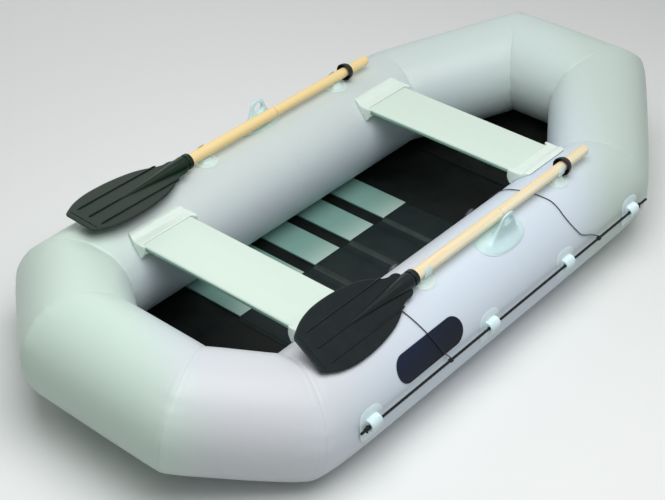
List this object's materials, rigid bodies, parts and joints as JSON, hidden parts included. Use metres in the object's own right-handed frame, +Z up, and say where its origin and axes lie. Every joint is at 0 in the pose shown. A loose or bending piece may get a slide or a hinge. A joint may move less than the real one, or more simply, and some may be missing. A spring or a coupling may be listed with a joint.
{
  "type": "inflatable rowing boat",
  "caption": "Small inflatable rowing boat with slatted floor, two thwarts, moulded rowlocks, a grab line and take-apart oars stowed in clips.",
  "frame": {"origin": "on the ground under the middle of the boat", "axes": "+X to the bow, +Y to port, +Z up"},
  "size_m": [2.4009, 1.2168, 0.4192],
  "materials": {
    "hull_fabric": "satin coated fabric, pale grey",
    "bottom_fabric": "matt coated fabric, black",
    "baffle_fabric": "matt coated fabric, grey",
    "slat_board": "matt, pale green",
    "sleeve_fabric": "matt, black",
    "thwart_board": "matt, pale mint",
    "soft_moulding": "soft, slightly translucent, pale mint",
    "blade_plastic": "satin, black",
    "varnished_wood": "clear varnish",
    "black_rubber": "matt, black",
    "black_rope": "braided, black",
    "patch_fabric": "satin, navy black",
    "valve_plastic": "satin, pale grey"
  },
  "bodies": {
    "boat": {"port_fore_tube": "hull_fabric", "port_aft_tube": "hull_fabric", "starboard_fore_tube": "hull_fabric", "starboard_aft_tube": "hull_fabric", "bow_port_tube": "hull_fabric", "bow_starboard_tube": "hull_fabric", "bow_tube": "hull_fabric", "stern_port_tube": "hull_fabric", "stern_starboard_tube": "hull_fabric", "stern_tube": "hull_fabric", "port_bulkhead": "baffle_fabric", "starboard_bulkhead": "baffle_fabric", "stern_bottom_panel": "bottom_fabric", "bottom_panel": "bottom_fabric", "bow_bottom_panel": "bottom_fabric", "floor_slat_1": "slat_board", "floor_slat_2": "slat_board", "floor_slat_3": "slat_board", "floor_slat_4": "slat_board", "floor_slat_5": "slat_board", "slat_sleeve": "sleeve_fabric", "aft_thwart": "thwart_board", "fore_thwart": "thwart_board", "aft_port_hood": "soft_moulding", "port_aft_oar_clip": "soft_moulding", "aft_starboard_hood": "soft_moulding", "starboard_aft_oar_clip": "soft_moulding", "fore_port_hood": "soft_moulding", "port_fore_oar_clip": "soft_moulding", "fore_starboard_hood": "soft_moulding", "starboard_fore_oar_clip": "soft_moulding", "port_rowlock": "soft_moulding", "port_line_holder_1": "soft_moulding", "port_line_holder_2": "soft_moulding", "port_line_holder_3": "soft_moulding", "port_line_holder_4": "soft_moulding", "starboard_rowlock": "soft_moulding", "starboard_line_holder_1": "soft_moulding", "starboard_line_holder_2": "soft_moulding", "starboard_line_holder_3": "soft_moulding", "starboard_line_holder_4": "soft_moulding", "grab_line": "black_rope", "fore_tether": "black_rope", "aft_tether": "black_rope", "name_patch": "patch_fabric", "aft_valve": "valve_plastic", "fore_valve": "valve_plastic"},
    "port_oar": {"port_blade": "blade_plastic", "port_lower_shaft": "varnished_wood"},
    "port_handle": {"port_upper_shaft": "varnished_wood"},
    "port_ring": {"port_oar_ring": "black_rubber"},
    "starboard_oar": {"starboard_blade": "blade_plastic", "starboard_lower_shaft": "varnished_wood"},
    "starboard_handle": {"starboard_upper_shaft": "varnished_wood"},
    "starboard_ring": {"starboard_oar_ring": "black_rubber"},
    "aft_cap": {"aft_valve_cap": "valve_plastic"},
    "fore_cap": {"fore_valve_cap": "valve_plastic"}
  },
  "joints": [
    {"name": "port_oar_lift", "type": "slide", "parent": "boat", "child": "port_oar", "axis": [0, -0.866, 0.5], "range_m": [0, 0.16]},
    {"name": "port_handle_pull", "type": "slide", "parent": "port_oar", "child": "port_handle", "axis": [1, 0, 0], "range_m": [0, 0.12]},
    {"name": "port_ring_slide", "type": "slide", "parent": "port_handle", "child": "port_ring", "axis": [1, 0, 0], "range_m": [0, 0.08]},
    {"name": "starboard_oar_lift", "type": "slide", "parent": "boat", "child": "starboard_oar", "axis": [0, 0.866, 0.5], "range_m": [0, 0.16]},
    {"name": "starboard_handle_pull", "type": "slide", "parent": "starboard_oar", "child": "starboard_handle", "axis": [1, 0, 0], "range_m": [0, 0.12]},
    {"name": "starboard_ring_slide", "type": "slide", "parent": "starboard_handle", "child": "starboard_ring", "axis": [1, 0, 0], "range_m": [0, 0.08]},
    {"name": "aft_cap_turn", "type": "hinge", "parent": "boat", "child": "aft_cap", "pos_m": [-0.2, -0.26156, 0.20799], "axis": [0, 0.9659, 0.2588], "range_deg": [0, 90]},
    {"name": "fore_cap_turn", "type": "hinge", "parent": "boat", "child": "fore_cap", "pos_m": [0.18, -0.26156, 0.20799], "axis": [0, 0.9659, 0.2588], "range_deg": [0, 90]}
  ]
}
